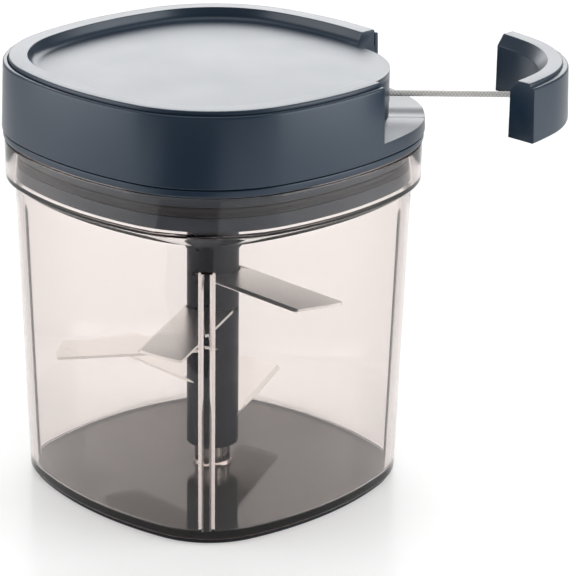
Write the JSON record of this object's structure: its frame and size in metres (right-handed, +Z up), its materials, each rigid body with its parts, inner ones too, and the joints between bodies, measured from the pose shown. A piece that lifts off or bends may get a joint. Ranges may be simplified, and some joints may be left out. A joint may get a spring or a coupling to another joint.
{
  "type": "pull cord food chopper",
  "caption": "Hand food chopper with a smoky see-through cup, stepped steel blades on a central shaft, and a navy lid whose corner grip pulls a cord from a sprung reel.",
  "frame": {"origin": "centre of the base pad's flat underside, on the blade shaft's axis", "axes": "+Z up along the shaft, +X the way the cord and handle are pulled, out of the lid's cut corner"},
  "size_m": [0.1754, 0.1316, 0.139],
  "materials": {
    "smoke_plastic": "clear smoky polished plastic",
    "pad_rubber": "matt dark rubber",
    "navy_plastic": "satin navy plastic with a fine grain",
    "shaft_plastic": "satin very dark navy plastic",
    "seal_rubber": "soft grey silicone",
    "steel": "bright steel",
    "blade_steel": "bright ground steel",
    "brass": "turned brass",
    "white_plastic": "natural white bearing plastic",
    "cord": "twisted off-white cord"
  },
  "bodies": {
    "container": {"container": "smoke_plastic", "base_pad": "pad_rubber", "pivot_pin": "steel"},
    "blades": {"shaft_core": "shaft_plastic", "shaft_sleeve_1": "shaft_plastic", "shaft_sleeve_2": "shaft_plastic", "shaft_sleeve_3": "shaft_plastic", "shaft_sleeve_4": "shaft_plastic", "shaft_sleeve_5": "shaft_plastic", "shaft_sleeve_6": "shaft_plastic", "drive_head": "shaft_plastic", "blade_1": "blade_steel", "blade_2": "blade_steel", "blade_3": "blade_steel", "blade_4": "blade_steel", "blade_5": "blade_steel"},
    "lid": {"lid_base": "navy_plastic", "seal_ring": "seal_rubber", "hub_bushing": "white_plastic", "lid_housing": "navy_plastic", "top_cover": "navy_plastic", "cord_eyelet": "steel", "base_screw_1": "steel", "base_screw_2": "steel", "base_screw_3": "steel", "base_screw_4": "steel", "reel_washer": "steel", "reel_screw": "steel", "return_spring": "steel", "pull_cord": "cord"},
    "reel": {"cord_reel": "white_plastic", "reel_bush": "brass", "spring_cover": "white_plastic", "ratchet_ring": "white_plastic", "cord_winding": "cord"},
    "drive": {"clutch_star": "white_plastic", "drive_hub": "shaft_plastic", "hub_screw": "steel"},
    "handle": {"handle_grip": "navy_plastic", "handle_plug": "navy_plastic", "cord_knot": "cord"}
  },
  "joints": [
    {"name": "lid_lift", "type": "slide", "parent": "container", "child": "lid", "axis": [0, 0, 1], "range_m": [0, 0.12]},
    {"name": "cord_pull", "type": "slide", "parent": "lid", "child": "handle", "axis": [1, 0, 0], "range_m": [-0.044, 0.26], "deforming": ["pull_cord"]},
    {"name": "reel_spin", "type": "hinge", "parent": "lid", "child": "reel", "pos_m": [0, 0, 0.125], "axis": [0, 0, 1], "range_deg": [-130, 765], "deforming": ["return_spring"]},
    {"name": "hub_spin", "type": "hinge", "parent": "lid", "child": "drive", "pos_m": [0, 0, 0.11], "axis": [0, 0, 1], "range_deg": [-130, 765]},
    {"name": "blade_spin", "type": "hinge", "parent": "container", "child": "blades", "pos_m": [0, 0, 0.05], "axis": [0, 0, 1], "range_deg": [-130, 765]}
  ],
  "couplings": [
    {"joint": "reel_spin", "follows": "cord_pull", "rad_per_m": 51.282},
    {"joint": "hub_spin", "follows": "cord_pull", "rad_per_m": 51.282},
    {"joint": "blade_spin", "follows": "cord_pull", "rad_per_m": 51.282}
  ]
}
